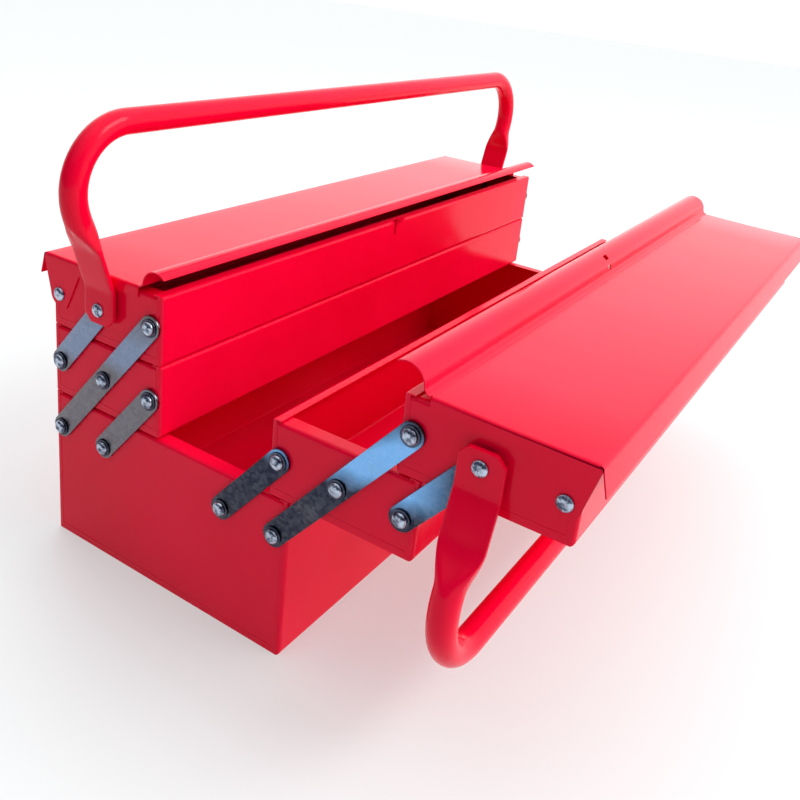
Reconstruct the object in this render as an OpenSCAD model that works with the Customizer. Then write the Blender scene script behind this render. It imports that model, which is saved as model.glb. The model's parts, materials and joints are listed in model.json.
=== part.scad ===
// Cantilever toolbox for carpentry: a deep base, a middle and a top tray on each side that fan out on
// riveted links, a lid on each top tray, and two tube handles. The left half is closed and the right
// half stands fanned open. Origin at the centre of the base's underside, +Z up, +Y along the length,
// +X towards the open half. Every piece of the left half is drawn closed; the right half is its mirror.

/* [Box] */
// Length of the base and the trays, along Y
box_l = 512; // [400:1:620]
// Width of the base, along X
box_w = 200; // [166:1:240]
// Height of the base
base_h = 107.5; // [89:0.5:130]
// Thickness of the sheet steel
sheet = 0.8; // [0.7:0.1:1]
// Outside radius of the bends in the sheet
bend_r = 2.5; // [2:0.5:3]

/* [Trays] */
// Height of a middle tray
mid_h = 48; // [40:0.5:58]
// Height of a top tray
top_h = 45; // [40:0.5:54]
// Gap between stacked trays
stack_gap = 0.5; // [0.4:0.1:1]
// Gap between the left and the right trays
centre_gap = 5; // [4:0.5:8]
// Width of the rim folded inward along the long sides
side_rim = 7; // [5:0.5:10]
// Width of the rim folded inward along the ends
end_rim = 10; // [8:0.5:14]
// Height of the step from the long rims down to the end rims
rim_step = 1.2; // [1.1:0.1:2]
// Width of the return that each tray's sheet makes round its corners
corner_return = 4; // [3.5:0.5:6]
// Seam between an end panel and the returns around it
seam = 0.15; // [0.1:0.05:0.3]

/* [Links and rivets] */
// Width of a link
link_w = 15; // [12:0.5:18]
// Thickness of a link
link_t = 2; // [1.5:0.1:2.5]
// Distance from a box side in to the outer column of pivots
pivot_inset = 8.5; // [8:0.5:12]
// Distance between neighbouring columns of pivots
pivot_step = 40.5; // [34:0.5:44]
// Height of a tray's pivots above its underside
pivot_up = 24; // [20:0.5:28]
// Diameter of a rivet's shank
shank_d = 5; // [4:0.5:6]
// Radial clearance of a link or a hole on its rivet
pivot_clear = 0.06; // [0.03:0.01:0.1]
// Gap between layers that turn on each other
layer_gap = 0.25; // [0.2:0.05:0.3]
// Diameter of a rivet's domed head
head_d = 9; // [8:0.5:10]
// Height of a rivet's domed head
head_h = 2.4; // [1.8:0.1:3]
// Diameter of a washer under a rivet's head
washer_d = 12; // [11:0.5:13]
// Thickness of a washer
washer_t = 0.8; // [0.6:0.1:1.2]

/* [Lids] */
// Gap between a top tray's rim and the lid above it
lid_gap = 1; // [0.8:0.1:1.5]
// Distance that a lid overhangs the tray's outer side
lid_over = 7; // [6.5:0.5:9]
// Drop of the lid's outer flange below its top
flange_drop = 15; // [12:0.5:16]
// Distance that the outer flange leans out over its drop
flange_lean = 3.5; // [3:0.5:5]
// Height of a lid's end flange near the middle of the box
end_flange = 8; // [6:0.5:9]
// Distance from the tray's outer side in to the lid's hinge rivets
hinge_inset = 7.5; // [7:0.5:9]
// Height of the lid's hinge rivets above the tray's underside
hinge_up = 21.5; // [20:0.5:24]
// Radius of the left lid's rolled lip, and of the right lid's lip that laps over it
left_lip_r = 10.5; // [9:0.5:11]
right_lip_r = 11.5; // [10:0.5:12]
// Distance from the box's middle to the centre of each lip's roll
left_lip_in = 7.5; // [7:0.5:9]
right_lip_in = 3; // [2.5:0.5:4]
// Height of each lip's centre above the lid's top
left_lip_up = 1.7; // [1:0.1:2]
right_lip_up = 2.7; // [2:0.1:3]
// Angle where each lip's roll ends, from horizontal
left_lip_end = 45; // [40:1:60]
right_lip_end = 60; // [55:1:70]
// Radius of the fillet between a lid's flat and its lip
lip_fillet = 4; // [3:0.5:6]

/* [Padlock eye] */
// Width of the openings in the right lid's lip
eye_w = 6; // [5:0.5:8]
// Width of the strap between the openings
eye_strap = 4; // [3:0.5:5]
// Height of each opening
eye_h = 4; // [3:0.5:5]
// Width of the lug on the left tray
lug_w = 8; // [7:0.5:10]
// Reach of the lug past the tray's side
lug_reach = 6; // [5.5:0.1:6.5]
// Diameter of the hole in the lug
lug_hole_d = 3.4; // [3:0.1:3.6]

/* [Handles] */
// Distance from a handle's pivots to the middle of its grip bar
handle_reach = 114; // [105:1:125]
// Diameter of the handle's tube
tube_d = 16; // [14:0.5:18]
// Wall thickness of the tube
tube_wall = 1.2; // [1:0.1:1.5]
// Radius of the tube's bends at its centreline
tube_bend = 39; // [30:1:44]
// Distance from the box's end in to the centre of each bend
bend_in = 16.5; // [10:0.5:20]
// Width and thickness of the tube's flattened ends
flat_w = 25.5; // [22:0.5:27]
flat_t = 3.2; // [2.8:0.1:3.6]
// Length of the flattened end past its pivot, and before the arm splays
flat_tip = 9; // [8:0.5:11]
flat_up = 13; // [12:0.5:15]
// Length of the crimp where the flat opens into the round tube
crimp_blend = 22; // [16:1:26]

/* [Hidden] */
SIDES = ["left", "right"];
ENDS = ["near", "far"];

$fn = 64;
CURVE_STEP = 7.5; // degrees between the points of a lid's rolled curves
eps = 0.01;       // overlap between shapes of one solid
red = "#d2142d";
dark_red = "#b51027";
zinc = "#aab4bf";
steel = "#8c939c";

half_w = (box_w - centre_gap) / 2;
tray_x = centre_gap / 2 + half_w / 2;         // middle of a closed tray from the box's middle
end_y = box_l / 2;                            // outer face of the end panels
pitch = mid_h + stack_gap;                    // height between rows of pivots
tray_z = [0, base_h + stack_gap, base_h + stack_gap + pitch];
tray_h = [base_h, mid_h, top_h];
row_z = [for (i = [0 : 2]) base_h + stack_gap + pivot_up + (i - 1) * pitch];
col_x = [for (k = [0 : 2]) box_w / 2 - pivot_inset - k * pivot_step];
link_l = norm([pivot_step, pitch]);
link_angle = atan2(pitch, pivot_step);
fan_shift = 2 * pivot_step;                   // how far one tray moves out past the one below it

// layers outside an end panel, as distances from its face
link_out = layer_gap + link_t;
washer_in = link_out + 0.15;
head_in = washer_in + washer_t + 0.1;
handle_in = link_out + layer_gap;
handle_head_in = handle_in + flat_t + 0.1;
lid_out = layer_gap + sheet;
lid_head_in = lid_out + 0.1;

lid_z = tray_z[2] + top_h + lid_gap + sheet;  // top of a lid's flat
lid_l = box_l + 2 * lid_out;
lid_edge = box_w / 2 + lid_over;
hinge_x = box_w / 2 - hinge_inset;
hinge_z = tray_z[2] + hinge_up;
lip_r = [left_lip_r, right_lip_r];
lip_x = [-left_lip_in, -right_lip_in];
lip_z = [lid_z + left_lip_up, lid_z + right_lip_up];
lip_end = [left_lip_end, right_lip_end];

// ---------- placing ----------

// Children are drawn for the left half, closed. side is 0 for the left and 1 for the right, level 0 to 2
module placed(side, level) {
    translate([side * level * fan_shift, 0, 0]) mirror([side, 0, 0]) children();
}

// Children are drawn at the near end. end is 0 for the near end and 1 for the far one
module at_end(end) {
    mirror([0, end, 0]) translate([0, -end_y, 0]) children();
}

// A cylinder along Y from y0 to y1
module y_rod(d, x, z, y0, y1) {
    translate([x, y1, z]) rotate([90, 0, 0]) cylinder(d = d, h = y1 - y0);
}

// ---------- sheet metal ----------

module rounded_rect(a, b, r) {
    square([a - 2 * r, b], center = true);
    square([a, b - 2 * r], center = true);
    for (i = [-1, 1], j = [-1, 1]) translate([i * (a / 2 - r), j * (b / 2 - r)]) circle(r);
}

// A box with rounded edges along Y and rounded upright edges, standing on z = 0
module folded_box(w, l, h, r) {
    intersection() {
        translate([0, 0, h / 2]) rotate([90, 0, 0])
            linear_extrude(l, center = true) rounded_rect(w, h, r);
        linear_extrude(h) rounded_rect(w, l, r);
    }
}

// Bottom and long sides of a tray in one sheet, with rims folded in and returns round the corners
module wrapper(w, h) {
    window = w - 2 * corner_return;
    difference() {
        folded_box(w, box_l, h, bend_r);
        translate([0, 0, sheet]) folded_box(w - 2 * sheet, box_l - 2 * sheet, h - 2 * sheet, bend_r - sheet);
        translate([-w / 2 + side_rim, -box_l, h - 2 * sheet]) cube([w - 2 * side_rim, 2 * box_l, 3 * sheet]);
        for (s = [-1, 1]) translate([-window / 2, s * end_y - bend_r, corner_return])
            cube([window, 2 * bend_r, h - sheet - corner_return]);
    }
}

// Outline of an end panel from the side: upright leg, bend and rim, with the outer corner at the origin
module folded_end(leg, rim) {
    translate([0, -leg]) square([sheet, leg - bend_r]);
    translate([bend_r, -sheet]) square([rim - bend_r, sheet]);
    translate([bend_r, -bend_r]) intersection() {
        difference() {
            circle(bend_r);
            circle(bend_r - sheet);
        }
        translate([-bend_r, 0]) square(bend_r);
    }
}

// End panel of a tray, drawn at the near end, with a hole for each rivet at [x, z]
module end_panel(w, level, holes) {
    panel_w = w - 2 * corner_return - 2 * seam;
    top = tray_h[level] - rim_step;
    difference() {
        translate([-panel_w / 2, 0, top]) rotate([90, 0, 90])
            linear_extrude(panel_w) folded_end(top - corner_return - seam, end_rim);
        for (p = holes) y_rod(shank_d + 2 * pivot_clear, p[0], p[1], -1, sheet + 1);
    }
}

// ---------- rivets, washers and links ----------

// A rivet through an end panel at [x, z], with its domed head's underside at head_y outside the panel
module rivet(x, z, head_y) {
    inside_h = 1;
    dome_r = (pow(head_d / 2, 2) + pow(head_h, 2)) / (2 * head_h);
    y_rod(head_d - 1, x, z, sheet + 0.05, sheet + 0.05 + inside_h);
    y_rod(shank_d, x, z, -head_y - eps, sheet + 0.05 + eps);
    intersection() {
        translate([x, -head_y - head_h + dome_r, z]) sphere(dome_r);
        y_rod(head_d + 1, x, z, -head_y - head_h - 1, -head_y);
    }
}

module washer(x, z) {
    difference() {
        y_rod(washer_d, x, z, -washer_in - washer_t, -washer_in);
        y_rod(shank_d + 2 * pivot_clear, x, z, -head_in - 1, 0);
    }
}

// A flat link with a hole at its first pivot and at each further one, rising to the right from [x, z]
module link(spans, x, z) {
    length = spans * link_l;
    translate([x, -layer_gap, z]) rotate([0, -link_angle, 0]) rotate([90, 0, 0])
        linear_extrude(link_t) difference() {
            union() {
                translate([0, -link_w / 2]) square([length, link_w]);
                circle(d = link_w);
                translate([length, 0]) circle(d = link_w);
            }
            for (i = [0 : spans]) translate([i * link_l, 0]) circle(d = shank_d + 2 * pivot_clear);
        }
}

// Pivots of a left tray as [x, z], the base's being those of its left side
function pivots(level) =
    level == 0 ? [[-col_x[0], row_z[0]], [-col_x[1], row_z[0]]] :
    level == 1 ? [[-col_x[0], row_z[1]], [-col_x[1], row_z[1]], [-col_x[2], row_z[1]]] :
    [[-col_x[2], row_z[2]]];
handle_pivot = [-col_x[1], row_z[2]];
lid_hinge = [-hinge_x, hinge_z];

// ---------- base ----------

base_pivots = concat(pivots(0), [for (p = pivots(0)) [-p[0], p[1]]]);

module base_wrapper() {
    color(red) wrapper(box_w, base_h);
}

module base_end(end) {
    color(dark_red) at_end(end) end_panel(box_w, 0, base_pivots);
}

module base_rivets() {
    color(steel) for (e = [0, 1], p = base_pivots) at_end(e) rivet(p[0], p[1], head_in);
}

module base_washers() {
    color(zinc) for (e = [0, 1], p = base_pivots) at_end(e) washer(p[0], p[1]);
}

// ---------- trays ----------

module tray_wrapper(side, level) {
    color(red) placed(side, level) translate([-tray_x, 0, tray_z[level]]) wrapper(half_w, tray_h[level]);
}

module tray_end(side, level, end) {
    through = level == 1 ? pivots(1) : concat(pivots(2), [handle_pivot, lid_hinge]);
    local = [for (p = through) [p[0] + tray_x, p[1] - tray_z[level]]];
    color(dark_red) placed(side, level) at_end(end)
        translate([-tray_x, 0, tray_z[level]]) end_panel(half_w, level, local);
}

module tray_rivets(side, level) {
    color(steel) placed(side, level) for (e = [0, 1], p = pivots(level)) at_end(e) rivet(p[0], p[1], head_in);
}

module tray_washers(side, level) {
    color(zinc) placed(side, level) for (e = [0, 1], p = pivots(level)) at_end(e) washer(p[0], p[1]);
}

// ---------- links ----------

// Foot of each link at rest: both halves' links rise to the right, as the left half is closed and the
// right half is open. kind 0 is the lower link, 1 the long one and 2 the upper one
function link_foot(side, kind) =
    side == 0 ? [[-col_x[1], row_z[0]], [-col_x[0], row_z[0]], [-col_x[0], row_z[1]]][kind] :
    [[col_x[1], row_z[0]], [col_x[0], row_z[0]], [col_x[0] + fan_shift, row_z[1]]][kind];

module tray_link(side, kind, end) {
    foot = link_foot(side, kind);
    color(zinc) at_end(end) link(kind == 1 ? 2 : 1, foot[0], foot[1]);
}

// ---------- lids ----------

function arc(cx, cz, r, a0, a1) = let (n = ceil(abs(a1 - a0) / CURVE_STEP))
    [for (i = [0 : n]) let (a = a0 + (a1 - a0) * i / n) [cx + r * cos(a), cz + r * sin(a)]];

// Outline of a lid's sheet seen from the near end. t is the depth below its outer surface
function lid_line(side, t) = let (
    r = lip_r[side], fillet = lip_fillet,
    drop = lip_z[side] - lid_z - fillet,
    fillet_x = lip_x[side] - sqrt(pow(r + fillet, 2) - pow(drop, 2)),
    meet = atan2(drop, lip_x[side] - fillet_x),
    lean = atan2(flange_lean, flange_drop))
    concat(
        arc(lip_x[side], lip_z[side], r - t, lip_end[side], 180 + meet),
        arc(fillet_x, lid_z + fillet, fillet + t, meet, -90),
        arc(-lid_edge + bend_r, lid_z - bend_r, bend_r - t, 90, 180 - lean),
        [[-lid_edge - flange_lean + t * cos(lean), lid_z - flange_drop - t * sin(lean)]]);

// Flange and hinge ear at a lid's end, which lie outside the tray's end panel
module lid_end() {
    under = lid_z - sheet / 2;
    foot_x = lip_x[0] - lip_r[0] - lip_fillet;
    ear_w = 26;
    ear_drop = 8.5;
    translate([0, -layer_gap, 0]) rotate([90, 0, 0]) linear_extrude(sheet) difference() {
        union() {
            polygon([
                [foot_x, under], [foot_x, lid_z - end_flange + 1],
                [-hinge_x + ear_w - 8, lid_z - end_flange - 1], [-hinge_x + 6, hinge_z - ear_drop],
                [-hinge_x, hinge_z - ear_drop], [-hinge_x - ear_drop, hinge_z],
                [-lid_edge - flange_lean / 4, lid_z - bend_r - 1], [-lid_edge + bend_r, under]]);
            translate([-hinge_x, hinge_z]) circle(ear_drop);
        }
        translate([-hinge_x, hinge_z]) circle(d = shank_d + 2 * pivot_clear);
    }
}

module lid(side) {
    color(red) placed(side, 2) difference() {
        union() {
            rotate([90, 0, 0]) linear_extrude(lid_l, center = true)
                polygon(concat(lid_line(side, 0), [for (i = [len(lid_line(side, sheet)) - 1 : -1 : 0])
                    lid_line(side, sheet)[i]]));
            for (e = [0, 1]) at_end(e) lid_end();
        }
        if (side == 1) lock_openings();
    }
}

// Two openings in the lip with a strap between them, which a padlock's shackle goes round
module lock_openings() {
    r = lip_r[1];
    opening = (eye_strap + eye_h) / 2 / r * 180 / PI;
    for (a = [-opening, opening])
        translate([lip_x[1], 0, lip_z[1]]) rotate([0, 180 - eye_tilt() + a, 0])
            translate([r - 3 * sheet, -eye_w / 2, -eye_h / 2]) cube([5 * sheet, eye_w, eye_h]);
}
function eye_tilt() = -32; // middle of the strap, measured round the lip from horizontal

module left_lock_lug() {
    side_x = -centre_gap / 2;
    lug_z = tray_z[2] + top_h + 1.7;
    plate = 1;
    foot_h = 12;
    color(red) difference() {
        union() {
            translate([side_x + eps, -lug_w / 2, lug_z - foot_h]) cube([plate, lug_w, foot_h]);
            translate([side_x + eps, -lug_w / 2, lug_z - plate]) cube([lug_reach - lug_w / 2 + 1, lug_w, plate]);
            translate([side_x + lug_reach - lug_w / 2, 0, lug_z - plate]) intersection() {
                cylinder(d = lug_w, h = plate);
                translate([0, -lug_w, 0]) cube([lug_w, 2 * lug_w, plate]);
            }
        }
        translate([side_x + lug_reach - lug_w / 2, 0, lug_z - 2 * plate]) cylinder(d = lug_hole_d, h = 3 * plate);
    }
}

// ---------- handles ----------

// The arm leaves the flattened end at its kink and runs straight to the bend, which it meets squarely
kink = [-handle_in - flat_t / 2, flat_up];
bend_c = [bend_in, handle_reach - tube_bend];
to_bend = bend_c - kink;
arm_splay = asin(tube_bend / norm(to_bend)) - atan2(to_bend[0], to_bend[1]);
arm_l = sqrt(pow(norm(to_bend), 2) - pow(tube_bend, 2));
crimp_l = arm_l - 2.5;    // from the kink to where the crimp is fully round
tube_join = 0.5;          // run of each straight tube into its bend
bend_step = 0.15;         // extra wall on each side of a bend

// Round tube of one arm with its bend, closed where the crimp begins. The bend's wall is a little
// thicker on both sides than that of the straight tubes that run into it
module tube_arm() {
    inner_d = tube_d - 2 * tube_wall;
    translate([0, kink[0], kink[1]]) rotate([arm_splay, 0, 0]) difference() {
        translate([0, 0, crimp_l]) cylinder(d = tube_d, h = arm_l + tube_join - crimp_l);
        translate([0, 0, arm_l - 1]) cylinder(d = inner_d, h = 1 + 2 * tube_join);
    }
    translate([0, bend_c[0], bend_c[1]]) rotate([90, 0, 90]) rotate([0, 0, 90])
        rotate_extrude(angle = 90 + arm_splay) translate([tube_bend, 0]) difference() {
            circle(d = tube_d + 2 * bend_step);
            circle(d = inner_d - 2 * bend_step);
        }
}

// Grip bar between the bends, with a vent hole at each end of its inner side for the enamel to drain
module grip_bar() {
    bar_l = box_l - 2 * bend_c[0] + 2 * tube_join;
    translate([0, 0, handle_reach]) difference() {
        rotate([90, 0, 0]) cylinder(d = tube_d, h = bar_l, center = true);
        rotate([90, 0, 0]) cylinder(d = tube_d - 2 * tube_wall, h = bar_l + 2, center = true);
        for (s = [-1, 1]) translate([0, s * (bar_l / 2 - 12), -tube_d]) cylinder(d = 3, h = tube_d);
    }
}

// The flattened end with its chamfered tip, bent where the arm starts to splay, and the crimp that
// opens it into the round tube
module flat_end() {
    a = flat_w / 2;
    t = flat_t / 2;
    corner = 5;
    mitre = t * tan(arm_splay / 2);
    flat_l = crimp_l - crimp_blend + 0.5;
    inside = 0.1; // the crimp starts this far inside the flat all round
    across = [cos(arm_splay), sin(arm_splay)];
    along = [-across[1], across[0]];
    intersection() {
        rotate([90, 0, 90]) linear_extrude(flat_w, center = true) polygon([
            kink + [-t, -flat_up - flat_tip], kink + [t, -flat_up - flat_tip], kink + [t, mitre],
            kink + flat_l * along + t * across, kink + flat_l * along - t * across, kink + [-t, -mitre]]);
        rotate([90, 0, 0]) linear_extrude(box_w, center = true) polygon([
            [-a, handle_reach], [-a, corner - flat_tip], [corner - a, -flat_tip],
            [a - corner, -flat_tip], [a, corner - flat_tip], [a, handle_reach]]);
    }
    translate([0, kink[0], kink[1]]) rotate([arm_splay, 0, 0]) hull() {
        translate([inside - a, inside - t, crimp_l - crimp_blend])
            cube([flat_w - 2 * inside, flat_t - 2 * inside, eps]);
        translate([0, 0, crimp_l - eps]) cylinder(d = tube_d - 0.1, h = 2 * eps, $fn = 32);
    }
}

// A whole handle standing upright on its pivots
module handle_upright() {
    for (e = [0, 1]) at_end(e) {
        difference() {
            flat_end();
            y_rod(shank_d + 2 * pivot_clear, 0, 0, kink[0] - flat_t, kink[0] + flat_t);
        }
        tube_arm();
    }
    grip_bar();
}

module handle(side) {
    color(red) placed(side, 2) translate([handle_pivot[0], 0, handle_pivot[1]])
        rotate([0, side * 180, 0]) handle_upright();
}

module handle_rivets(side) {
    color(steel) placed(side, 2) for (e = [0, 1]) at_end(e)
        rivet(handle_pivot[0], handle_pivot[1], handle_head_in);
}

module lid_rivets(side) {
    color(steel) placed(side, 2) for (e = [0, 1]) at_end(e) rivet(lid_hinge[0], lid_hinge[1], lid_head_in);
}

// ---------- nodes ----------

base_wrapper();
base_end(0);  // base_end_near
base_end(1);  // base_end_far
base_rivets();
base_washers();
for (s = [0, 1]) {
    for (level = [1, 2]) {
        tray = str(SIDES[s], ["", "_middle_", "_top_"][level]);
        tray_wrapper(s, level);
        tray_end(s, level, 0);
        tray_end(s, level, 1);
        tray_rivets(s, level);
        tray_washers(s, level);
    }
    for (k = [0 : 2], e = [0, 1])
        tray_link(s, k, e);
    lid(s);
    lid_rivets(s);
    handle(s);
    handle_rivets(s);
}
left_lock_lug();
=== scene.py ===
"""Cantilever toolbox in red enamel with zinc-plated links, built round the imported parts."""

import json
import math

import bpy
import bmesh
from mathutils import Matrix, Vector


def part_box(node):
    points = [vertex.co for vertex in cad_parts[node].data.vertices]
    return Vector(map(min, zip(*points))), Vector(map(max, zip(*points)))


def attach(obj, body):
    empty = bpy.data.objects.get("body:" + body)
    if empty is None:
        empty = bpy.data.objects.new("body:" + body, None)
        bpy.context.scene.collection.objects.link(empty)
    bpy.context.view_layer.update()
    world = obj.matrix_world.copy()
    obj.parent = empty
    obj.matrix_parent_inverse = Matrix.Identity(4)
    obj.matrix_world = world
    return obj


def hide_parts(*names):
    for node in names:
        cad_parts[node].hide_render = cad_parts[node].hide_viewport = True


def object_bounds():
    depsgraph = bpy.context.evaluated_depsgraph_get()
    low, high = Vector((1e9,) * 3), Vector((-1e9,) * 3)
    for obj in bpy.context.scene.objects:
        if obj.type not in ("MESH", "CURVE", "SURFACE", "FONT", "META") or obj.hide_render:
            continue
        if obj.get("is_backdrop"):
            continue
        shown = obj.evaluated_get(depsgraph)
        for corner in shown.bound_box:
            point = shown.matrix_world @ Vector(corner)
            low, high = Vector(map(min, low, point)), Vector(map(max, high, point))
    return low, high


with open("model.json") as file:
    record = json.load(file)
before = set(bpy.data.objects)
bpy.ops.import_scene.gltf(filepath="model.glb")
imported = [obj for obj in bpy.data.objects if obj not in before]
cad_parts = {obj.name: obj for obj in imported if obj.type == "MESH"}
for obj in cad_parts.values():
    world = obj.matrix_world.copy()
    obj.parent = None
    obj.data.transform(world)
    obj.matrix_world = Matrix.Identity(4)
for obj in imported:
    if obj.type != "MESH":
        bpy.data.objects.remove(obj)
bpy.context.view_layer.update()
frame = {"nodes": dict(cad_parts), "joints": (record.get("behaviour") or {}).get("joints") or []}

# ---------------------------------------------------------------------------------------------
# The room: a pale floor under a large soft key light high on the right, a broad panel overhead, and
# a surround that is white behind the box and dim behind the camera, off the near right corner.

scene = bpy.context.scene
scene.view_settings.view_transform = "Standard"


def direction(azimuth, elevation):
    a, e = math.radians(azimuth), math.radians(elevation)
    return Vector((math.sin(a) * math.cos(e), math.cos(a) * math.cos(e), math.sin(e)))


def make_camera(place, azimuth, elevation, roll, lens, shift):
    """The camera looks along azimuth (0 is +Y) and elevation, rolled to the right."""
    ahead = direction(azimuth, elevation)
    level = direction(azimuth + 90, 0)
    upright = level.cross(ahead)
    c, s = math.cos(math.radians(roll)), math.sin(math.radians(roll))
    axes = Matrix((c * level + s * upright, c * upright - s * level, -ahead)).transposed()
    data = bpy.data.cameras.new("Camera")
    data.lens = lens
    data.sensor_width = 36
    data.shift_x, data.shift_y = shift
    data.clip_start, data.clip_end = 0.02, 50
    camera = bpy.data.objects.new("Camera", data)
    camera.matrix_world = Matrix.Translation(place) @ axes.to_4x4()
    scene.collection.objects.link(camera)
    scene.camera = camera


make_camera(place=(0.3588, -0.6044, 0.4004), azimuth=-30.70, elevation=-19.54, roll=6.31, lens=40.5,
            shift=(0.0070, -0.1509))


def make_light(name, place, target, size, power):
    """Rectangular panel that shines from place towards target."""
    data = bpy.data.lights.new(name, "AREA")
    data.shape = "RECTANGLE"
    data.size, data.size_y = size
    data.energy = power
    light = bpy.data.objects.new(name, data)
    light.location = place
    light.rotation_mode = "QUATERNION"
    light.rotation_quaternion = (Vector(target) - Vector(place)).to_track_quat("-Z", "Y")
    scene.collection.objects.link(light)


make_light("Key", place=(1.9, 0.6, 2.0), target=(0.05, -0.05, 0.12), size=(1.4, 1.2), power=42)
make_light("Overhead", place=(0.0, 0.2, 2.4), target=(0.05, 0, 0.1), size=(2.6, 2.6), power=12)


def put(tree, kind, *inputs, out=0, **settings):
    """Adds a node. inputs fill its sockets in order, with None left alone, by value or by link."""
    node = tree.nodes.new(kind)
    for key, value in settings.items():
        setattr(node, key, value)
    for socket, value in zip(node.inputs, inputs):
        if isinstance(value, bpy.types.NodeSocket):
            tree.links.new(value, socket)
        elif value is not None:
            socket.default_value = value
    return node.outputs[out]


def mixed(tree, factor, dark, light):
    """A colour between two, by a factor socket."""
    node = tree.nodes.new("ShaderNodeMix")
    node.data_type = "RGBA"
    tree.links.new(factor, node.inputs[0])
    for socket, value in ((node.inputs[6], dark), (node.inputs[7], light)):
        if isinstance(value, bpy.types.NodeSocket):
            tree.links.new(value, socket)
        else:
            socket.default_value = (*value, 1)
    return node.outputs[2]


def spread(tree, value, low, high, to_low=0.0, to_high=1.0):
    """Maps a value from one range to another, clamped."""
    return put(tree, "ShaderNodeMapRange", value, low, high, to_low, to_high)


def make_world():
    """Pale walls behind the box and dim, bluish ones behind the camera, which the links mirror."""
    world = bpy.data.worlds.new("World")
    world.use_nodes = True
    tree = world.node_tree
    facing = tree.nodes.new("ShaderNodeSeparateXYZ")
    tree.links.new(put(tree, "ShaderNodeTexCoord"), facing.inputs[0])
    ahead = spread(tree, facing.outputs[1], -0.35, 0.28)
    sides = mixed(tree, ahead, (0.05, 0.07, 0.11), (1.45, 1.45, 1.45))
    roof = spread(tree, facing.outputs[2], 0.45, 0.95)
    tree.links.new(mixed(tree, roof, sides, (0.95, 0.95, 0.96)), tree.nodes["Background"].inputs["Color"])
    tree.nodes["Background"].inputs["Strength"].default_value = 1.12
    scene.world = world


make_world()


def make_floor(size=12):
    """Flat pale floor that glows a little, so that it stays white and neutral round the box."""
    half = size / 2
    corners = [(-half, -half, 0), (half, -half, 0), (half, half, 0), (-half, half, 0)]
    mesh = bpy.data.meshes.new("floor")
    mesh.from_pydata(corners, [], [(0, 1, 2, 3)])
    floor = bpy.data.objects.new("floor", mesh)
    material = bpy.data.materials.new("Pale floor")
    material.use_nodes = True
    surface = material.node_tree.nodes["Principled BSDF"]
    surface.inputs["Base Color"].default_value = (0.46, 0.49, 0.49, 1)
    surface.inputs["Roughness"].default_value = 0.6
    surface.inputs["Emission Color"].default_value = (1, 1, 1, 1)
    surface.inputs["Emission Strength"].default_value = 0.36
    mesh.materials.append(material)
    scene.collection.objects.link(floor)
    floor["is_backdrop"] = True


make_floor()

# ---------------------------------------------------------------------------------------------
# Base and trays: each is a wrapper of 0.8 mm sheet that makes the bottom and both long sides, with
# rims folded inward, and two end panels spot-welded into it. All is dipped in red stoving enamel.


def cloud(tree, place, scale, detail=2.0, roughness=0.5):
    """Value that drifts from place to place."""
    return put(tree, "ShaderNodeTexNoise", place, None, scale, detail, roughness)


def stretched(tree, place, scale, turn=(0, 0, 0)):
    """Object coordinates turned and scaled apart along the axes, for a grain."""
    return put(tree, "ShaderNodeMapping", place, None, turn, scale)


def begin_material(name):
    """A new material with its shader, and the object coordinates that its finish follows."""
    material = bpy.data.materials.new(name)
    material.use_nodes = True
    tree = material.node_tree
    tree.nodes.clear()
    surface = tree.nodes.new("ShaderNodeBsdfPrincipled")
    output = tree.nodes.new("ShaderNodeOutputMaterial")
    tree.links.new(surface.outputs[0], output.inputs[0])
    place = put(tree, "ShaderNodeTexCoord", out=3)
    return material, tree, surface, place


def bumped(tree, surface, *heights):
    """Bump from several (height socket, strength, distance) layers."""
    normal = None
    for height, strength, distance in heights:
        node = tree.nodes.new("ShaderNodeBump")
        node.inputs["Strength"].default_value = strength
        node.inputs["Distance"].default_value = distance
        tree.links.new(height, node.inputs["Height"])
        if normal is not None:
            tree.links.new(normal, node.inputs["Normal"])
        normal = node.outputs[0]
    tree.links.new(normal, surface.inputs["Normal"])


def make_enamel(name, deep, bright):
    """Glossy stoving enamel: slight orange peel, thick and thin patches, fine rubbing marks."""
    material, tree, surface, place = begin_material(name)
    patches = cloud(tree, place, 9, 3)
    peel = cloud(tree, place, 420, 1.5)
    waves = cloud(tree, place, 16, 1)
    rubs = cloud(tree, stretched(tree, place, (30, 500, 30)), 1, 3, 0.7)
    specks = cloud(tree, place, 1500, 1)
    tone = mixed(tree, spread(tree, patches, 0.3, 0.7), deep, bright)
    dust = spread(tree, specks, 0.70, 0.78, 0, 0.05)
    tree.links.new(mixed(tree, dust, tone, (0.8, 0.35, 0.38)), surface.inputs["Base Color"])
    tree.links.new(spread(tree, rubs, 0.35, 0.75, 0.12, 0.2), surface.inputs["Roughness"])
    surface.inputs["IOR"].default_value = 1.22
    bumped(tree, surface, (peel, 0.10, 0.0002), (waves, 0.12, 0.002))
    return material


enamel = make_enamel("Red enamel", (0.82, 0.0008, 0.028), (0.93, 0.0012, 0.040))


def coat(piece, material):
    """Gives a piece its material."""
    piece.data.materials.clear()
    piece.data.materials.append(material)


for name, node in frame["nodes"].items():
    if "wrapper" in name or "_end_" in name or name == "left_lock_lug":
        coat(node, enamel)
        fold = node.modifiers.new("Rolled edges", "BEVEL")
        fold.width = 0.0003
        fold.segments = 2
        fold.limit_method = "ANGLE"
        fold.angle_limit = math.radians(50)

# each joint's place in millimetres, and the end panels' distance from the middle of the box
PIVOT = {joint["name"]: Vector(joint["pos_m"]) * 1000 for joint in frame["joints"]}
END_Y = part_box("base_wrapper")[1].y * 1000
SIDES = ("left", "right")
ENDS = {"near": -1, "far": 1}


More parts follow.
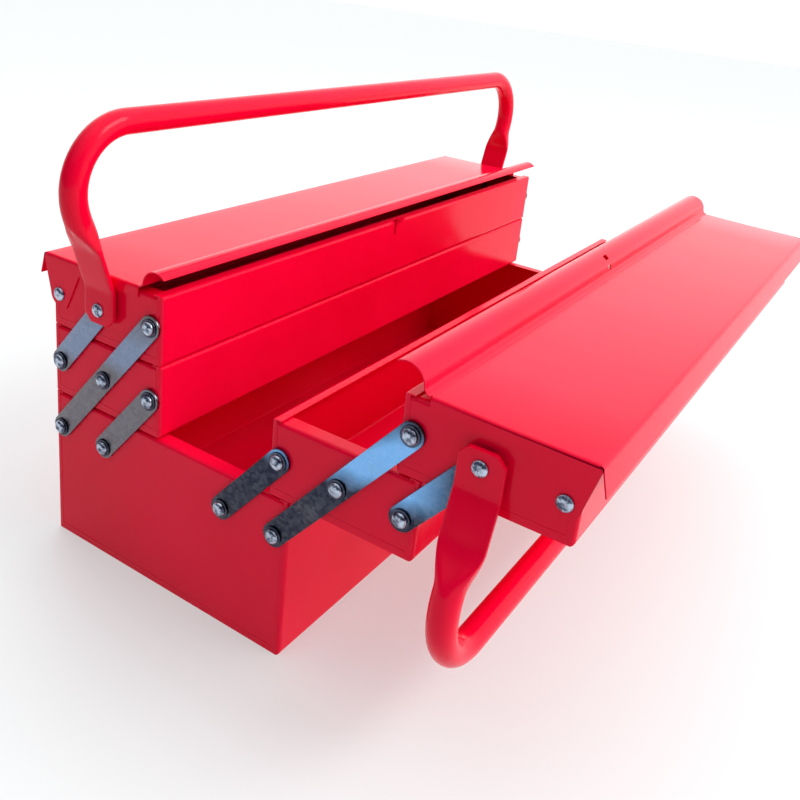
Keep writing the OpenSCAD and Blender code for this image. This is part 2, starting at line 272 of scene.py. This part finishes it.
def finished(name, mesh, material, slot, body, *nodes):
    """Makes a piece of a mesh in millimetres, shows it in place of CAD nodes and rides it."""
    mesh.transform(Matrix.Scale(0.001, 4))
    piece = bpy.data.objects.new(name, mesh)
    scene.collection.objects.link(piece)
    coat(piece, material)
    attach(piece, body)
    if nodes:
        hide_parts(*nodes)
    return piece


def plate(outline, holes, thick, bevel):
    """Mesh of a plate in the XY plane, centred on z = 0, from an outline and (x, y, radius) holes."""
    curve = bpy.data.curves.new("plate", "CURVE")
    curve.dimensions = "2D"
    curve.fill_mode = "BOTH"
    curve.extrude = thick / 2 - bevel
    curve.bevel_depth = bevel
    curve.bevel_resolution = 2
    curve.offset = -bevel
    rings = [outline]
    for x, y, r in holes:
        turns = [a * math.pi / 16 for a in range(32)]
        rings.append([(x + r * math.cos(turn), y + r * math.sin(turn)) for turn in turns])
    for ring in rings:
        spline = curve.splines.new("POLY")
        spline.points.add(len(ring) - 1)
        for point, (x, y) in zip(spline.points, ring):
            point.co = (x, y, 0, 1)
        spline.use_cyclic_u = True
    flat = bpy.data.objects.new("plate", curve)
    scene.collection.objects.link(flat)
    bpy.context.view_layer.update()
    mesh = bpy.data.meshes.new_from_object(flat.evaluated_get(bpy.context.evaluated_depsgraph_get()))
    bpy.data.objects.remove(flat)
    bpy.data.curves.remove(curve)
    return mesh


def tidied(mesh, sharp=35):
    """Merges doubles, points the faces outwards and shades smooth except across sharp angles."""
    work = bmesh.new()
    work.from_mesh(mesh)
    bmesh.ops.remove_doubles(work, verts=work.verts, dist=0.001)
    bmesh.ops.recalc_face_normals(work, faces=work.faces)
    for edge in work.edges:
        edge.smooth = len(edge.link_faces) == 2 and edge.calc_face_angle(0) < math.radians(sharp)
    for face in work.faces:
        face.smooth = True
    work.to_mesh(mesh)
    work.free()
    return mesh


def upright(mesh, x, y, z, turn=0):
    """Stands a mesh of the XY plane up in the XZ plane, facing -Y, and moves it to x, y, z."""
    stand = Matrix.Rotation(math.radians(90), 4, "X")
    spin = Matrix.Rotation(-turn, 4, "Y")
    mesh.transform(Matrix.Translation((x, y, z)) @ spin @ stand)
    return mesh


CORNER_RETURN = 4.075
SEAM_W = 1.3
SEAM_T = 0.36
SEAM_EDGE = 0.12
SEAM_TOP = 3.5


def seam_outline(low, high):
    """Band of enamel along the seam between an end panel and the wrapper's returns, open at the top."""
    ring = []
    for inset in (CORNER_RETURN - SEAM_W / 2, CORNER_RETURN + SEAM_W / 2):
        left, right, foot, head = low.x + inset, high.x - inset, low.z + inset, high.z - SEAM_TOP
        corners = [(left, head), (left, foot), (right, foot), (right, head)]
        ring += corners if not ring else corners[::-1]
    return ring


for body in ["base"] + [f"{side}_{level}_tray" for side in SIDES for level in ("middle", "top")]:
    stem = body.replace("_tray", "")
    low, high = (corner * 1000 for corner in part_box(stem + "_wrapper"))
    for end, sign in ENDS.items():
        seam = upright(plate(seam_outline(low, high), [], SEAM_T, SEAM_EDGE), 0, sign * END_Y, 0)
        finished(f"{stem}_paint_seam_{end}", tidied(seam), enamel, "red_enamel", body)

# ---------------------------------------------------------------------------------------------
# Links: flat bars of 2 mm steel, round-ended, punched for their rivets with the burr rolled off
# the edges, then zinc plated. Each hangs on rivets through the end panels.

LINK_W = 15
LINK_T = 2
LINK_EDGE = 0.35
LINK_Y = 1.25
HOLE_R = 2.56


def link_outline(length, r):
    """Bar from x = 0 to length with round ends."""
    steps = range(-12, 13)
    right = [(length + r * math.cos(a * math.pi / 24), r * math.sin(a * math.pi / 24)) for a in steps]
    left = [(-r * math.cos(a * math.pi / 24), -r * math.sin(a * math.pi / 24)) for a in steps]
    return right + left


def make_zinc_with_painted_reflection(name, turn, dark, light):
    """Zinc plate over rolled steel, with a painted reflection: a paler stripe at a set height, darker low
    down, at the top and far out, which stays on the metal as the links swing; with clouds, rolling lines, a
    fine spangle and pits."""
    material, tree, surface, place = begin_material(name)
    # painted reflection: a pale stripe between two heights, its edges wobbled by noise, fading far out along
    # x
    height = tree.nodes.new("ShaderNodeSeparateXYZ")
    reflection_edge_noise = cloud(tree, place, 22, 2)
    tree.links.new(place, height.inputs[0])
    level = put(tree, "ShaderNodeMath", reflection_edge_noise, 0.045, height.outputs[2], operation="MULTIPLY_ADD")
    reflection_lower_edge = spread(tree, level, 0.157, 0.172)
    reflection_upper_edge = spread(tree, level, 0.204, 0.190)
    reflection_stripe = put(tree, "ShaderNodeMath", reflection_lower_edge, reflection_upper_edge, operation="MULTIPLY")
    outward = spread(tree, height.outputs[0], 0.176, 0.198, 1, 0.12)
    reflection_stripe = put(tree, "ShaderNodeMath", reflection_stripe, outward, operation="MULTIPLY")
    spangle = tree.nodes.new("ShaderNodeTexVoronoi")
    tree.links.new(place, spangle.inputs["Vector"])
    spangle.inputs["Scale"].default_value = 420
    grey = put(tree, "ShaderNodeRGBToBW", spangle.outputs["Color"])
    rolled = cloud(tree, stretched(tree, place, (40, 900, 900), (0, turn, 0)), 1, 3, 0.6)
    smudge = cloud(tree, place, 30, 3, 0.6)
    pits = cloud(tree, place, 1300, 2)
    # the painted reflection's colours: dark outside the stripe, light within it
    tone = mixed(tree, reflection_stripe, dark, light)
    warm = mixed(tree, spread(tree, smudge, 0.55, 0.75, 0, 0.25), tone, (0.20, 0.19, 0.19))
    tree.links.new(mixed(tree, spread(tree, grey, 0.2, 0.8, 0, 0.06), warm, (0.62, 0.66, 0.72)),
                   surface.inputs["Base Color"])
    tree.links.new(spread(tree, rolled, 0.3, 0.7, 0.20, 0.34), surface.inputs["Roughness"])
    surface.inputs["Metallic"].default_value = 1
    bumped(tree, surface, (rolled, 0.2, 0.0002), (pits, 0.12, 0.0001))
    return material


# each side's link colours for the painted reflection: dark outside the pale stripe and light within it, navy
# and sky blue on the right
ZINC_AND_PAINTED_REFLECTION = {
    "left": ((0.15, 0.135, 0.155), (0.19, 0.235, 0.35)),
    "right": ((0.022, 0.024, 0.046), (0.19, 0.44, 0.82)),
}


def link_lie(foot, head):
    """Length and lean of a link from one pivot to another."""
    span = head - foot
    return span.length, math.atan2(span.z, span.x)


for side in SIDES:
    lower_foot, long_foot, upper_foot = (PIVOT[f"{side}_{n}"] for n in ("lower_swing", "fan", "upper_swing"))
    links = {"lower": (lower_foot, 1), "long": (long_foot, 2), "upper": (upper_foot, 1)}
    length, lean = link_lie(long_foot, PIVOT[side + "_middle_level"])
    zinc = make_zinc_with_painted_reflection(f"Zinc plate, {side} links", lean, *ZINC_AND_PAINTED_REFLECTION[side])
    for kind, (foot, spans) in links.items():
        holes = [(i * length, 0, HOLE_R) for i in range(spans + 1)]
        for end, sign in ENDS.items():
            bar = plate(link_outline(spans * length, LINK_W / 2), holes, LINK_T, LINK_EDGE)
            upright(bar, foot.x, sign * (END_Y + LINK_Y), foot.z, lean)
            finished(f"{side}_{kind}_bar_{end}", tidied(bar), zinc, "zinc_steel",
                     f"{side}_{kind}_links", f"{side}_{kind}_link_{end}")

# ---------------------------------------------------------------------------------------------
# Rivets: 5 mm steel rivets set cold, whose heads are spun down to a dome with a dimpled crown and
# petals round it. Those of the links bear on a zinc washer, and all have a flat head inside.

RIVET_R = 4.5
RIVET_H = 2.4
SHANK_R = 2.5
# where each kind of head seats, out from the end panel: over a link's washer, a lid's ear, a handle's flat
LINK_SEAT = 3.3
EAR_SEAT = 1.15
FLAT_SEAT = 5.8
TAIL_SIZE = (0.89, 0.89, 0.42)
TAIL_IN = 0.85


def math_node(tree, operation, *values):
    """One sum in a geometry tree."""
    return put(tree, "ShaderNodeMath", *values, operation=operation)


def begin_geometry(name, sizes):
    """A geometry tree with a geometry input, one named float input for each size, and an output."""
    tree = bpy.data.node_groups.new(name, "GeometryNodeTree")
    tree.interface.new_socket("Geometry", in_out="INPUT", socket_type="NodeSocketGeometry")
    for size, value in sizes.items():
        socket = tree.interface.new_socket(size, in_out="INPUT", socket_type="NodeSocketFloat")
        socket.default_value = value
    tree.interface.new_socket("Geometry", in_out="OUTPUT", socket_type="NodeSocketGeometry")
    entry = tree.nodes.new("NodeGroupInput")
    return tree, {socket.name: socket for socket in entry.outputs if socket.name}


def end_geometry(tree, shape, material):
    """Puts the shape at every point, turned by which way the point faces, and ends the tree."""
    entry = next(node for node in tree.nodes if node.bl_idname == "NodeGroupInput")
    facing = tree.nodes.new("GeometryNodeInputNamedAttribute")
    facing.data_type = "FLOAT"
    facing.inputs["Name"].default_value = "facing"
    size = tree.nodes.new("GeometryNodeInputNamedAttribute")
    size.data_type = "FLOAT_VECTOR"
    size.inputs["Name"].default_value = "size"
    turn = math_node(tree, "MULTIPLY", facing.outputs[0], -math.pi / 2)
    turned = put(tree, "ShaderNodeCombineXYZ", turn)
    rotation = put(tree, "FunctionNodeEulerToRotation", turned)
    placed = tree.nodes.new("GeometryNodeInstanceOnPoints")
    tree.links.new(entry.outputs[0], placed.inputs["Points"])
    tree.links.new(shape, placed.inputs["Instance"])
    tree.links.new(rotation, placed.inputs["Rotation"])
    tree.links.new(size.outputs[0], placed.inputs["Scale"])
    real = put(tree, "GeometryNodeRealizeInstances", placed.outputs[0])
    shaded = put(tree, "GeometryNodeSetMaterial", real, None, material)
    output = tree.nodes.new("NodeGroupOutput")
    tree.links.new(shaded, output.inputs[0])


def rivet_tree(material):
    """Domed rivet head turned from a grid: its rows run from the crown down to the shank's foot."""
    sizes = {"Head radius": RIVET_R, "Head height": RIVET_H, "Dimple": 0.5, "Shank radius": SHANK_R}
    tree, size = begin_geometry("Domed rivets", {**sizes, "Shank length": 4})
    rows, around = 18, 41
    grid = put(tree, "GeometryNodeMeshGrid", 1.0, 1.0, rows, around)
    at = tree.nodes.new("ShaderNodeSeparateXYZ")
    tree.links.new(tree.nodes.new("GeometryNodeInputPosition").outputs[0], at.inputs[0])
    row = math_node(tree, "MULTIPLY", math_node(tree, "ADD", at.outputs[0], 0.5), float(rows - 1))
    angle = math_node(tree, "MULTIPLY", math_node(tree, "ADD", at.outputs[1], 0.5), 2 * math.pi)
    v = math_node(tree, "MINIMUM", math_node(tree, "DIVIDE", row, 14.0), 1.0)
    on_head = math_node(tree, "LESS_THAN", row, 15.5)
    on_dome = math_node(tree, "LESS_THAN", row, 14.5)
    # radius: the dome out to its edge, then the shank
    head_r = math_node(tree, "MULTIPLY", math_node(tree, "MULTIPLY", v, size["Head radius"]), on_head)
    off_head = math_node(tree, "SUBTRACT", 1.0, on_head)
    radius = math_node(tree, "ADD", head_r, math_node(tree, "MULTIPLY", size["Shank radius"], off_head))
    # height: an ellipse with a short upright edge, less the crown's dimple and the petals
    sag = math_node(tree, "MULTIPLY", math_node(tree, "POWER", v, 2.3), 0.93)
    ellipse = math_node(tree, "SQRT", math_node(tree, "SUBTRACT", 1.0, sag))
    dome = math_node(tree, "MULTIPLY", ellipse, size["Head height"])
    crown = math_node(tree, "POWER", math_node(tree, "SUBTRACT", 1.0, v), 4.0)
    petal = math_node(tree, "MULTIPLY", math_node(tree, "COSINE", math_node(tree, "MULTIPLY", angle, 6.0)),
                      math_node(tree, "MULTIPLY", v, math_node(tree, "SUBTRACT", 1.0, v)))
    dimples = math_node(tree, "ADD", crown, math_node(tree, "MULTIPLY", petal, 0.7))
    hollow = math_node(tree, "MULTIPLY", dimples, size["Dimple"])
    head = math_node(tree, "MULTIPLY", math_node(tree, "SUBTRACT", dome, hollow), on_dome)
    on_foot = math_node(tree, "GREATER_THAN", row, 16.5)
    height = math_node(tree, "SUBTRACT", head, math_node(tree, "MULTIPLY", on_foot, size["Shank length"]))
    spot = put(tree, "ShaderNodeCombineXYZ",
               math_node(tree, "MULTIPLY", radius, math_node(tree, "COSINE", angle)),
               math_node(tree, "MULTIPLY", radius, math_node(tree, "SINE", angle)), height)
    shape = tree.nodes.new("GeometryNodeSetPosition")
    tree.links.new(grid, shape.inputs["Geometry"])
    tree.links.new(spot, shape.inputs["Position"])
    joined = tree.nodes.new("GeometryNodeMergeByDistance")
    tree.links.new(shape.outputs[0], joined.inputs["Geometry"])
    joined.inputs["Distance"].default_value = 0.001
    end_geometry(tree, joined.outputs[0], material)
    return tree


def washer_tree(material):
    """Flat washer with rounded edges, bent round a circle from its section."""
    sizes = {"Outer radius": 6, "Hole radius": HOLE_R, "Thickness": 0.8, "Edge": 0.22}
    tree, size = begin_geometry("Washers", sizes)
    width = math_node(tree, "SUBTRACT", size["Outer radius"], size["Hole radius"])
    mean = math_node(tree, "MULTIPLY", math_node(tree, "ADD", size["Outer radius"], size["Hole radius"]), 0.5)
    ring = tree.nodes.new("GeometryNodeCurvePrimitiveCircle")
    ring.inputs["Resolution"].default_value = 40
    tree.links.new(mean, ring.inputs["Radius"])
    section = tree.nodes.new("GeometryNodeCurvePrimitiveQuadrilateral")
    tree.links.new(width, section.inputs["Width"])
    tree.links.new(size["Thickness"], section.inputs["Height"])
    rounded = tree.nodes.new("GeometryNodeFilletCurve")
    rounded.mode = "POLY"
    tree.links.new(section.outputs[0], rounded.inputs["Curve"])
    rounded.inputs["Count"].default_value = 3
    tree.links.new(size["Edge"], rounded.inputs["Radius"])
    body = tree.nodes.new("GeometryNodeCurveToMesh")
    tree.links.new(ring.outputs[0], body.inputs["Curve"])
    tree.links.new(rounded.outputs[0], body.inputs["Profile Curve"])
    end_geometry(tree, body.outputs[0], material)
    return tree


def grown(name, points, tree, **sizes):
    """Plain mesh that a geometry tree grows on points, each (place, facing, size)."""
    mesh = bpy.data.meshes.new(name)
    mesh.from_pydata([place for place, facing, size in points], [], [])
    facings = [facing for place, facing, size in points]
    mesh.attributes.new("facing", "FLOAT", "POINT").data.foreach_set("value", facings)
    scales = [part for place, facing, size in points for part in size]
    mesh.attributes.new("size", "FLOAT_VECTOR", "POINT").data.foreach_set("vector", scales)
    seed = bpy.data.objects.new(name + "_seed", mesh)
    scene.collection.objects.link(seed)
    modifier = seed.modifiers.new("Grow", "NODES")
    modifier.node_group = tree
    for item in tree.interface.items_tree:
        if item.in_out == "INPUT" and item.name in sizes:
            modifier[item.identifier] = float(sizes[item.name])
    bpy.context.view_layer.update()
    made = bpy.data.meshes.new_from_object(seed.evaluated_get(bpy.context.evaluated_depsgraph_get()))
    seed.modifiers.remove(modifier)
    bpy.data.objects.remove(seed)
    made.name = name
    return made


def make_rivet_steel(name):
    """Cold-set steel: bright and bluish, with darker stains in random patches, slightly oily."""
    material, tree, surface, place = begin_material(name)
    grain = cloud(tree, place, 900, 3, 0.6)
    stain = cloud(tree, place, 260, 3, 0.6)
    tree.links.new(mixed(tree, spread(tree, stain, 0.42, 0.62), (0.50, 0.56, 0.68), (0.07, 0.08, 0.13)),
                   surface.inputs["Base Color"])
    tree.links.new(spread(tree, grain, 0.3, 0.7, 0.18, 0.36), surface.inputs["Roughness"])
    surface.inputs["Metallic"].default_value = 1
    bumped(tree, surface, (grain, 0.2, 0.0002))
    return material


rivet_steel = make_rivet_steel("Cold-set steel")
# the washers carry the same painted reflection stripe, in darker blues
washer_zinc = make_zinc_with_painted_reflection("Zinc plate, washers", 0.0, (0.03, 0.035, 0.06), (0.09, 0.11, 0.18))
RIVETS = rivet_tree(rivet_steel)
WASHERS = washer_tree(washer_zinc)
WASHER_OUT = 2.8


def rivets_at(pivots, reach):
    """Points for the heads outside both ends and the flat tails inside, reach being the head's seat."""
    points = []
    for p in pivots:
        for sign in ENDS.values():
            points.append(((p.x, sign * (END_Y + reach), p.z), sign, (1, 1, 1)))
            points.append(((p.x, sign * (END_Y - TAIL_IN), p.z), -sign, TAIL_SIZE))
    return points


def washers_at(pivots):
    """Points for the washers outside both ends."""
    signs = ENDS.values()
    return [((p.x, sign * (END_Y + WASHER_OUT), p.z), sign, (1, 1, 1)) for p in pivots for sign in signs]


def rivet_group(name, pivots, reach, body, node):
    """All the rivets that one CAD node stands for, as one piece."""
    mesh = grown(name, rivets_at(pivots, reach), RIVETS, **{"Shank length": reach})
    finished(name, tidied(mesh, 50), rivet_steel, "zinc_steel", body, node)


def washer_group(name, pivots, body, node):
    """All the washers that one CAD node stands for, as one piece."""
    finished(name, tidied(grown(name, washers_at(pivots), WASHERS)), washer_zinc, "zinc_steel", body, node)


base_pivots = [PIVOT[f"{side}_{n}"] for side in SIDES for n in ("fan", "lower_swing")]
rivet_group("base_rivet_heads", base_pivots, LINK_SEAT, "base", "base_rivets")
washer_group("base_washer_rings", base_pivots, "base", "base_washers")
for side in SIDES:
    link_mid = PIVOT[side + "_middle_level"]
    lower_head = PIVOT[side + "_lower_swing"] + link_mid - PIVOT[side + "_fan"]
    middle = [link_mid, lower_head, PIVOT[side + "_upper_swing"]]
    for level, pivots in (("middle", middle), ("top", [PIVOT[side + "_top_level"]])):
        stem = f"{side}_{level}"
        rivet_group(stem + "_rivet_heads", pivots, LINK_SEAT, stem + "_tray", stem + "_rivets")
        washer_group(stem + "_washer_rings", pivots, stem + "_tray", stem + "_washers")
    for part, joint, seat in (("lid", "lid_hinge", EAR_SEAT), ("handle", "handle_swing", FLAT_SEAT)):
        rivet_group(f"{side}_{part}_rivet_heads", [PIVOT[f"{side}_{joint}"]], seat, side + "_top_tray",
                    f"{side}_{part}_rivets")

# ---------------------------------------------------------------------------------------------
# Lids: one sheet each, with its inner edge rolled up to a lip, its outer edge turned down to a
# flange, and its ends folded down to ears that hang on a rivet at each end of the top tray.

SHEET = 0.8
LID_Y = END_Y + 1.05
LID_TOP = 203.3
LID_EDGE = 107.0
FOLD_R = 1.8
FLANGE_R = 2.5
# the outer flange's drop, and how far it leans out over that drop
FLANGE = (15.0, 3.5)
HINGE = (-92.5, 178.0)
LIP_FILLET = 4.0
LIPS = {
    "left": {"x": -7.5, "up": 1.7, "r": 10.5, "end": 45},
    "right": {"x": -3.0, "up": 2.7, "r": 11.5, "end": 60},
}
CROWN = {"left": 0.4, "right": 1.2}
CREASE_X = -58
# the padlock eye's two openings, as angles round the lip, and half their width
EYE = ((118.1, 138.1), (157.9, 175.2))
EYE_HALF = 3.0
EAR_R = 8.5


def arc_points(cx, cz, r, angles):
    return [(cx + r * math.cos(math.radians(a)), cz + r * math.sin(math.radians(a))) for a in angles]


def between(start, stop, count):
    return [start + (stop - start) * i / count for i in range(count + 1)]


def crowned(x, foot, crown):
    """Rise of a lid's flat over its inner half and fall over its outer half, either side of a crease."""
    in_from_crease = x - CREASE_X
    if in_from_crease > 0:
        return crown * min(in_from_crease / (foot - CREASE_X), 1)
    return crown * 0.5 * max(in_from_crease / 46, -1)


def lid_lines(lip, depth, crown):
    """Section of a closed left lid, depth below its outer face, from the lip's end to the flange's
    edge. Returns (x, z) points with the span of those that lie on the flat."""
    rise = lip["up"] - LIP_FILLET
    foot = lip["x"] - math.sqrt((lip["r"] + LIP_FILLET) ** 2 - rise ** 2)
    meet = math.degrees(math.atan2(rise, lip["x"] - foot))
    stops = [lip["end"], EYE[0][0], EYE[0][1], EYE[1][0], 180 + meet]
    turns = []
    for low, high in zip(stops, stops[1:]):
        turns += between(low, high, max(2, round((high - low) / 6)))[:-1]
    points = arc_points(lip["x"], LID_TOP + lip["up"], lip["r"] - depth, turns)
    points += arc_points(foot, LID_TOP + LIP_FILLET, LIP_FILLET + depth, between(meet, -90, 8))[:-1]
    first = len(points)
    edge = -LID_EDGE + FLANGE_R
    flat = between(foot, -56, 6) + between(-60, edge, 6)
    points += [(x, LID_TOP - depth) for x in flat]
    last = len(points) - 1
    lean = math.degrees(math.atan2(FLANGE[1], FLANGE[0]))
    points += arc_points(edge, LID_TOP - FLANGE_R, FLANGE_R - depth, between(90, 180 - lean, 7))[1:]
    tip = (-LID_EDGE - FLANGE[1] + depth, LID_TOP - FLANGE[0])
    points += [(points[-1][0] + (tip[0] - points[-1][0]) * t, points[-1][1] + (tip[1] - points[-1][1]) * t)
               for t in (0.33, 0.67, 1.0)]
    return [(x, z + crowned(x, foot, crown)) for x, z in points], first, last


def lid_shell(side):
    """Both faces of the sheet as one grid, folded down at each end along the flat, with the eye's
    openings and the slits at the folds left out."""
    lip = LIPS[side]
    crown = CROWN[side]
    outer, first, last = lid_lines(lip, 0, crown)
    inner = lid_lines(lip, SHEET, crown)[0]
    run = [-200, -120, -40, -EYE_HALF, EYE_HALF, 40, 120, 200]
    folds = between(0, 90, 6)
    straight = LID_Y - FOLD_R
    work = bmesh.new()
    grid = {}
    columns = [("near", t) for t in reversed(folds)] + [("run", y) for y in run] + [("far", t) for t in folds]
    for i, (a, b) in enumerate(zip(outer, inner)):
        for j, (where, t) in enumerate(columns):
            for layer, (x, z) in enumerate((a, b)):
                y = t
                if where != "run":
                    r = FOLD_R - SHEET * layer
                    folded = first <= i <= last
                    out = r * math.sin(math.radians(t)) if folded else FOLD_R * t / 90
                    drop = r * (1 - math.cos(math.radians(t))) if folded else 0
                    y = ENDS[where] * (straight + out)
                    z -= drop
                grid[i, j, layer] = work.verts.new((x, y, z))
    rows = range(len(outer) - 1)
    spans = range(len(columns) - 1)

    def solid(i, j):
        if not (0 <= i < len(outer) - 1 and 0 <= j < len(columns) - 1):
            return False
        kinds = {columns[j][0], columns[j + 1][0]}
        if "run" not in kinds and (i == first - 1 or i == last):
            return False
        if side == "right" and columns[j] == ("run", -EYE_HALF):
            x, z = ((outer[i][k] + outer[i + 1][k]) / 2 for k in (0, 1))
            turn = math.degrees(math.atan2(z - crown - LID_TOP - lip["up"], x - lip["x"])) % 360
            return not any(low < turn < high for low, high in EYE)
        return True

    for i in rows:
        for j in spans:
            if not solid(i, j):
                continue
            ring = [(i, j), (i + 1, j), (i + 1, j + 1), (i, j + 1)]
            for layer in (0, 1):
                work.faces.new([grid[p, q, layer] for p, q in ring])
            besides = ((i, j - 1), (i + 1, j), (i, j + 1), (i - 1, j))
            for (p, q), (m, n), beside in zip(ring, ring[1:] + ring[:1], besides):
                if not solid(*beside):
                    work.faces.new([grid[p, q, 0], grid[m, n, 0], grid[m, n, 1], grid[p, q, 1]])
    bmesh.ops.delete(work, geom=[v for v in work.verts if not v.link_faces], context="VERTS")
    return work, outer[first][0], crown


def ear_outline(foot):
    """End flange, deep round the hinge rivet and shallow towards the lip."""
    top = LID_TOP - FOLD_R
    x, z = HINGE
    points = [(foot, top), (foot, LID_TOP - 7), (x + 18, LID_TOP - 9), (x + 6, z - EAR_R)]
    points += arc_points(x, z, EAR_R, between(-90, -180, 8))
    bend = -LID_EDGE + FLANGE_R
    points += arc_points(bend, LID_TOP - FLANGE_R, FLANGE_R - 0.1, between(180, 90, 6))
    return points + [(bend, top)]


def placed(mesh, side):
    """Moves a mesh made for a closed left top tray to its side."""
    if side == "right":
        across = PIVOT["right_top_level"].x + PIVOT["left_top_level"].x
        mesh.transform(Matrix.Translation((across, 0, 0)) @ Matrix.Scale(-1, 4, (1, 0, 0)))
    return mesh


for side in SIDES:
    work, foot, crown = lid_shell(side)
    for sign in ENDS.values():
        ear = plate(ear_outline(foot), [(*HINGE, HOLE_R)], SHEET, 0)
        upright(ear, 0, sign * (LID_Y - SHEET / 2), 0)
        for vertex in ear.vertices:
            if vertex.co.z > LID_TOP - FOLD_R - 0.01:
                vertex.co.z += crowned(vertex.co.x, foot, crown)
        work.from_mesh(ear)
    lid = bpy.data.meshes.new(side + "_lid_sheet")
    work.to_mesh(lid)
    work.free()
    name = side + "_lid"
    finished(name + "_sheet", tidied(placed(lid, side)), enamel, "red_enamel", name, name)

# ---------------------------------------------------------------------------------------------
# Handles: 16 mm steel tube bent round at both corners, its ends pressed flat, cropped at their
# corners and bored for the rivets they swing on. The pressing leaves a crease down each arm.

TUBE_R = 8.0
# half the width and thickness of the pressed end, and where it kinks outward, out and up from the pivot
FLAT_HALF = (12.75, 1.6)
KINK = (4.1, 13.0)
# the corner's bend: its centre, out from the end panel and up from the pivot, and its radius
BEND = (-16.5, 75.0, 39.0)
# where the pressed end starts and stops opening into the round tube, along the arm from the kink
CRIMP = (26.0, 50.0)
CREASE = {"depth": 1.5, "middle": 38, "half_length": 8, "half_width": 2.4}
AROUND = 44


def handle_stations():
    """Half of a handle from its flat's tip to the end of its bend, as (outward, up, lean, arm) with
    outward measured from the end panel, lean from upright, and arm the distance from the kink."""
    start = (KINK[0] - BEND[0], KINK[1] - BEND[1])
    reach = math.hypot(*start)
    splay = math.asin(BEND[2] / reach) - math.atan2(start[0], -start[1])
    arm = math.sqrt(reach ** 2 - BEND[2] ** 2)
    stations = [(KINK[0], up, 0.0, up - KINK[1]) for up in (-9, -8.6, -7.5, -6, -4, 0, 5, 10)]
    for t in between(0.0, 1.0, 4):
        stations.append((KINK[0] + 1.6 * splay * t * t, KINK[1] - 2 + 4 * t, splay * t, 0.0))
    for along in between(4, CRIMP[0], 5) + between(CRIMP[0] + 1.5, CRIMP[1], 14):
        stations.append((KINK[0] + along * math.sin(splay), KINK[1] + along * math.cos(splay), splay, along))
    for t in between(0, 1, 22):
        lean = splay - t * (splay + math.pi / 2)
        stations.append((BEND[0] + BEND[2] * math.cos(lean), BEND[1] + BEND[2] * math.sin(-lean), lean, arm))
    return stations


def smooth_step(t):
    """Eases from 0 to 1."""
    t = min(max(t, 0), 1)
    return t * t * (3 - 2 * t)


def handle_section(arm, tip):
    """Section of the tube, flat below the crimp and round past it, as (x, outward) points."""
    t = smooth_step((arm - CRIMP[0]) / (CRIMP[1] - CRIMP[0]))
    a = FLAT_HALF[0] + (TUBE_R - FLAT_HALF[0]) * t - tip
    b = FLAT_HALF[1] + (TUBE_R - FLAT_HALF[1]) * t
    power = 2 / (7 - 5 * t)
    crease = CREASE["depth"] * math.exp(-((arm - CREASE["middle"]) / CREASE["half_length"]) ** 2)
    points = []
    for k in range(AROUND):
        c, s = math.cos(2 * math.pi * k / AROUND), math.sin(2 * math.pi * k / AROUND)
        x = a * math.copysign(abs(c) ** power, c)
        out = b * math.copysign(abs(s) ** power, s)
        dent = crease * math.exp(-(x / CREASE["half_width"]) ** 2) if s > 0 else 0
        points.append((x, out - dent))
    return points


def handle_mesh():
    """Standing handle with its pivot at the origin, swept from one flat's tip to the other's."""
    half = []
    for out, up, lean, arm in handle_stations():
        tip = max(0, -4 - up)
        half.append([(x, -END_Y - out - o * math.cos(lean), up - o * math.sin(lean))
                     for x, o in handle_section(arm, tip)])
    rings = half + [[(x, -y, z) for x, y, z in ring] for ring in reversed(half)]
    work = bmesh.new()
    rows = [[work.verts.new(p) for p in ring] for ring in rings]
    for low, high in zip(rows, rows[1:]):
        for k in range(AROUND):
            work.faces.new((low[k], low[(k + 1) % AROUND], high[(k + 1) % AROUND], high[k]))
    work.faces.new(rows[0])
    work.faces.new(rows[-1])
    mesh = bpy.data.meshes.new("handle")
    work.to_mesh(mesh)
    work.free()
    return tidied(mesh)


def bored(mesh, spots, r, length):
    """Cuts round holes along Y through a mesh."""
    work = bmesh.new()
    for spot in spots:
        cut = Matrix.Translation(spot) @ Matrix.Rotation(math.pi / 2, 4, "X")
        rod = {"segments": 32, "radius1": r, "radius2": r, "depth": length, "cap_ends": True}
        bmesh.ops.create_cone(work, matrix=cut, **rod)
    tool = bpy.data.objects.new("tool", bpy.data.meshes.new("tool"))
    work.to_mesh(tool.data)
    work.free()
    blank = bpy.data.objects.new("blank", mesh)
    scene.collection.objects.link(tool)
    scene.collection.objects.link(blank)
    cutter = blank.modifiers.new("Bore", "BOOLEAN")
    cutter.object = tool
    cutter.solver = "EXACT"
    bpy.context.view_layer.update()
    made = bpy.data.meshes.new_from_object(blank.evaluated_get(bpy.context.evaluated_depsgraph_get()))
    blank.modifiers.remove(cutter)
    bpy.data.objects.remove(blank)
    bpy.data.objects.remove(tool)
    return made


for side in SIDES:
    pivot = PIVOT[side + "_handle_swing"]
    handle = handle_mesh()
    if side == "right":
        handle.transform(Matrix.Rotation(math.pi, 4, "Y"))
    spots = [(0, sign * (END_Y + KINK[0]), 0) for sign in ENDS.values()]
    handle = bored(handle, spots, HOLE_R, 6)
    handle.transform(Matrix.Translation((pivot.x, 0, pivot.z)))
    name = side + "_handle"
    finished(name + "_tube", tidied(handle), enamel, "red_enamel", name, name)

low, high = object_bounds()
